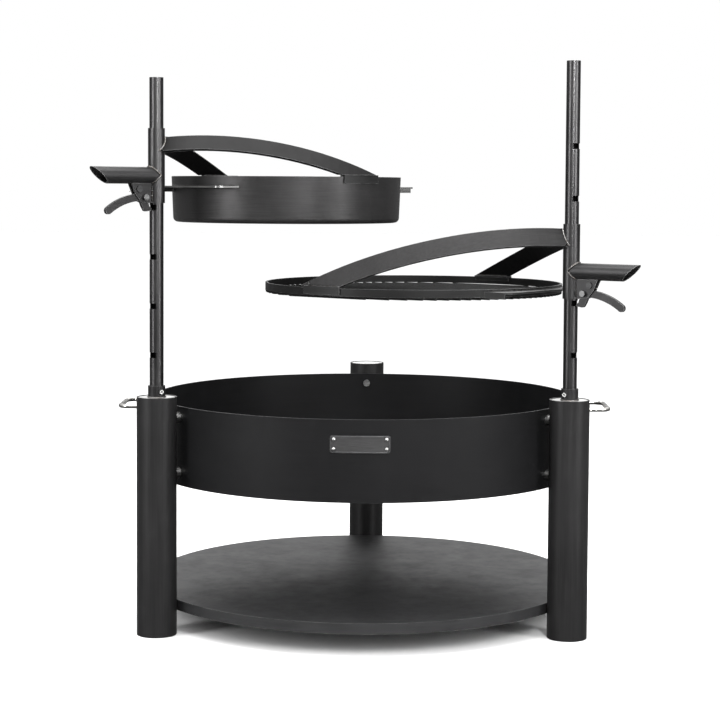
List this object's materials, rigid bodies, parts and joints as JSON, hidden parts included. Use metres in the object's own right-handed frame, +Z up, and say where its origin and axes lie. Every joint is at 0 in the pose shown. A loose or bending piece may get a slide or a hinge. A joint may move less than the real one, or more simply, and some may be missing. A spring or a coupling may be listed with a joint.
{
  "type": "fire pit with swing arm pan and grate",
  "caption": "Round steel fire bowl on tube posts over a log shelf, with two swinging masts whose sliding latched arms carry a pan and a cooking grate.",
  "frame": {"origin": "bowl axis at floor level, under the middle of the bowl", "axes": "+Z up, +Y towards the rear post, +X towards the grate's mast"},
  "size_m": [0.9601, 0.888, 1.034],
  "materials": {
    "frame_steel": "dark satin steel, lightly oiled",
    "bowl_steel": "dark heat-resistant finish, satin",
    "shelf_steel": "dark satin steel",
    "cap_steel": "light scratched steel",
    "fastener_steel": "bright plated steel",
    "handle_steel": "polished round bar",
    "badge_steel": "satin plate, left blank",
    "mast_steel": "drawn tube, worn along its length",
    "sleeve_steel": "drawn tube with weld marks",
    "grip_steel": "dark satin steel",
    "spring_steel": "spring wire and pin",
    "arm_steel": "dark flat bar, satin",
    "pan_steel": "spun dark steel, brushed round",
    "grate_steel": "dark steel, slightly blued by heat"
  },
  "bodies": {
    "root": {"post_left": "frame_steel", "post_right": "frame_steel", "post_rear": "frame_steel", "post_feet": "frame_steel", "post_cap_left": "cap_steel", "post_cap_right": "cap_steel", "post_cap_rear": "cap_steel", "socket_left": "frame_steel", "socket_right": "frame_steel", "socket_guide_left": "frame_steel", "socket_guide_right": "frame_steel", "mast_seat_left": "frame_steel", "mast_seat_right": "frame_steel", "socket_screws": "fastener_steel", "bowl_wall": "bowl_steel", "bowl_floor": "bowl_steel", "bowl_handle_left": "handle_steel", "bowl_handle_right": "handle_steel", "bowl_bolts": "fastener_steel", "bowl_spacers": "fastener_steel", "bowl_nuts": "fastener_steel", "badge_plate": "badge_steel", "badge_rivets": "fastener_steel", "shelf_plate": "shelf_steel", "shelf_band_ring": "shelf_steel", "shelf_bolts": "fastener_steel", "shelf_nuts": "fastener_steel"},
    "mast_left_body": {"mast_left": "mast_steel"},
    "mast_right_body": {"mast_right": "mast_steel"},
    "carriage_left": {"sleeve_left": "sleeve_steel", "grip_left": "grip_steel", "bracket_left": "grip_steel", "pivot_bolt_left": "fastener_steel", "pivot_nut_left": "fastener_steel", "spring_pin_left": "spring_steel", "lever_spring_left": "spring_steel", "pan_leg_front": "arm_steel", "pan_leg_rear": "arm_steel", "pan_clips": "arm_steel", "pan": "pan_steel", "pan_plate_near": "arm_steel", "pan_plate_far": "arm_steel"},
    "carriage_right": {"sleeve_right": "sleeve_steel", "grip_right": "grip_steel", "bracket_right": "grip_steel", "pivot_bolt_right": "fastener_steel", "pivot_nut_right": "fastener_steel", "spring_pin_right": "spring_steel", "lever_spring_right": "spring_steel", "grate_leg_front": "arm_steel", "grate_leg_rear": "arm_steel", "grate_clips": "arm_steel", "grate_ring": "grate_steel", "grate_rods": "grate_steel", "grate_plate": "arm_steel"},
    "lever_left_body": {"lever_left": "grip_steel"},
    "lever_right_body": {"lever_right": "grip_steel"}
  },
  "joints": [
    {"name": "swing_left", "type": "hinge", "parent": "root", "child": "mast_left_body", "pos_m": [-0.37025, -0.24506, 0.4], "axis": [0, 0, 1], "continuous": true},
    {"name": "swing_right", "type": "hinge", "parent": "root", "child": "mast_right_body", "pos_m": [0.37025, -0.24506, 0.4], "axis": [0, 0, 1], "continuous": true},
    {"name": "lift_left", "type": "slide", "parent": "mast_left_body", "child": "carriage_left", "axis": [0, 0, 1], "range_m": [-0.088, 0.088]},
    {"name": "lift_right", "type": "slide", "parent": "mast_right_body", "child": "carriage_right", "axis": [0, 0, 1], "range_m": [-0.093, 0.093]},
    {"name": "squeeze_left", "type": "hinge", "parent": "carriage_left", "child": "lever_left_body", "pos_m": [-0.39214, -0.26484, 0.7882], "axis": [-0.6704, 0.742, 0], "range_deg": [-12.5, 3.5], "stiffness_Nm_per_rad": 3, "deforming": ["lever_spring_left"]},
    {"name": "squeeze_right", "type": "hinge", "parent": "carriage_right", "child": "lever_right_body", "pos_m": [0.39396, -0.26261, 0.6222], "axis": [-0.5948, -0.8039, 0], "range_deg": [-12.5, 3.5], "stiffness_Nm_per_rad": 3, "deforming": ["lever_spring_right"]}
  ]
}
